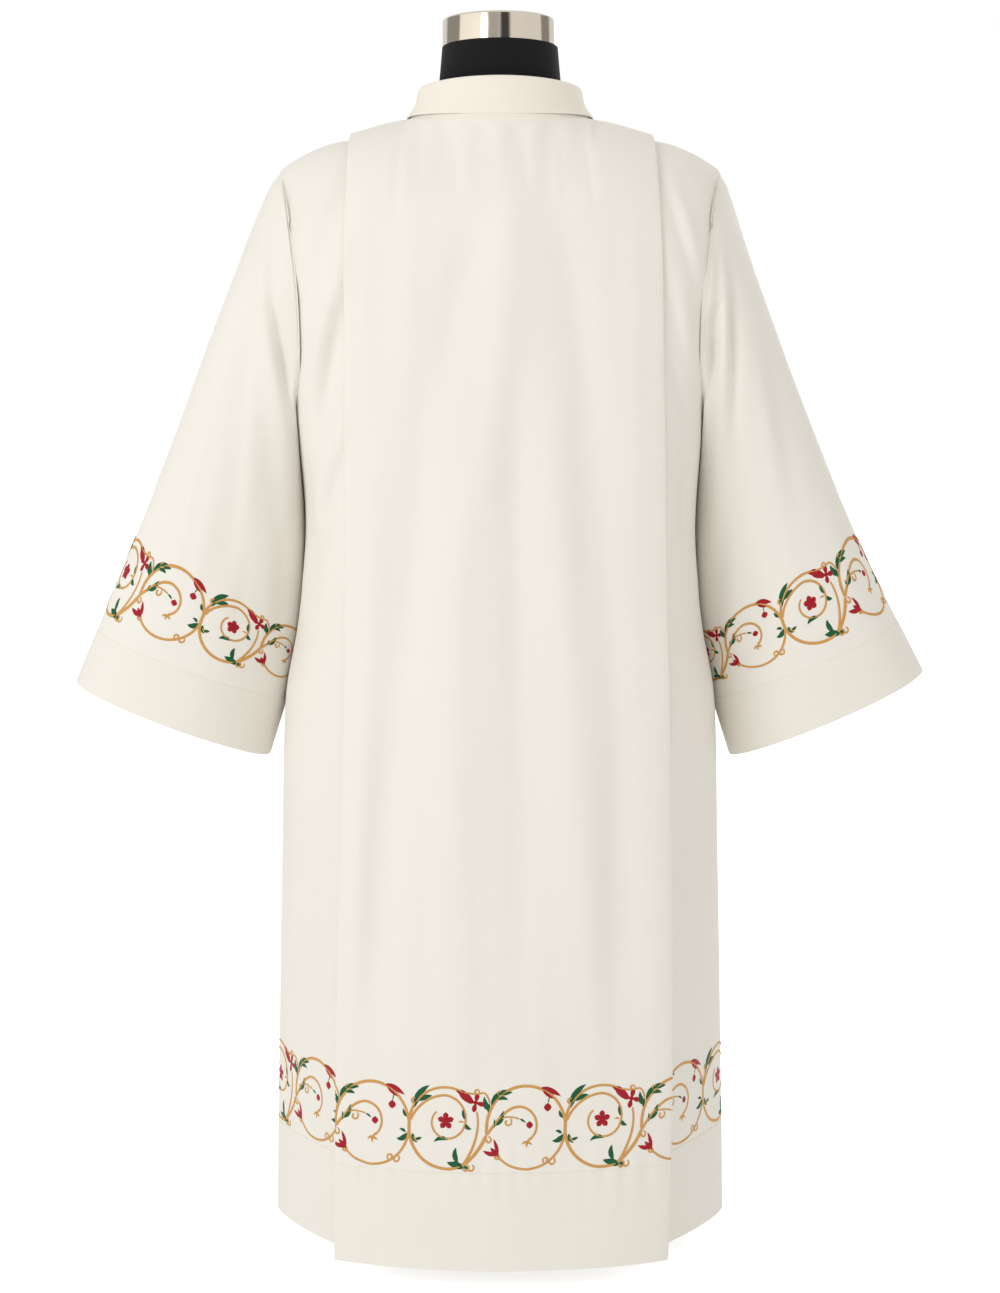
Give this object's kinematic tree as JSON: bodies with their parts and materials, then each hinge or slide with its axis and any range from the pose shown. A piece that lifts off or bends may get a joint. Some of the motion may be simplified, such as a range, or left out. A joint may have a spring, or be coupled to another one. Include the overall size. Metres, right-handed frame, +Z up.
{
  "type": "surplice on a limbless dress form",
  "caption": "Knee-length cream surplice with a fold-over collar, pleated back and front, flared sleeves and embroidered borders, on a limbless dress form.",
  "frame": {"origin": "on the floor, at the centre of the underside of the dress form's round base, straight under the middle of the neck", "axes": "+Z up, +Y towards the wearer's front, so the back faces -Y, and +X towards the wearer's right"},
  "size_m": [0.9055, 0.364, 1.2962],
  "materials": {
    "body_cloth": "plain-woven cream wool-blend cloth with a faint weave and a soft low sheen",
    "band_cloth": "the same cream cloth turned up double, a shade warmer, with a stitched fold",
    "collar_cloth": "the same cream cloth over interfacing, smooth and firm, with an edge stitch",
    "form_jersey": "black stretch jersey pulled tight, matt",
    "cap_chrome": "polished chromed steel band and lid",
    "stand_steel": "plain brushed steel tube",
    "stand_paint": "black satin powder coat"
  },
  "bodies": {
    "root": {"form_base": "stand_paint", "form_pole_socket": "stand_paint", "form_pole": "stand_steel", "form_torso": "form_jersey", "form_neck_cap": "cap_chrome", "back": "body_cloth", "back_hem_band": "band_cloth", "front": "body_cloth", "front_hem_band": "band_cloth", "sleeve_right": "body_cloth", "cuff_band_right": "band_cloth", "sleeve_left": "body_cloth", "cuff_band_left": "band_cloth", "collar_stand": "collar_cloth", "collar_fall": "collar_cloth"}
  },
  "joints": []
}
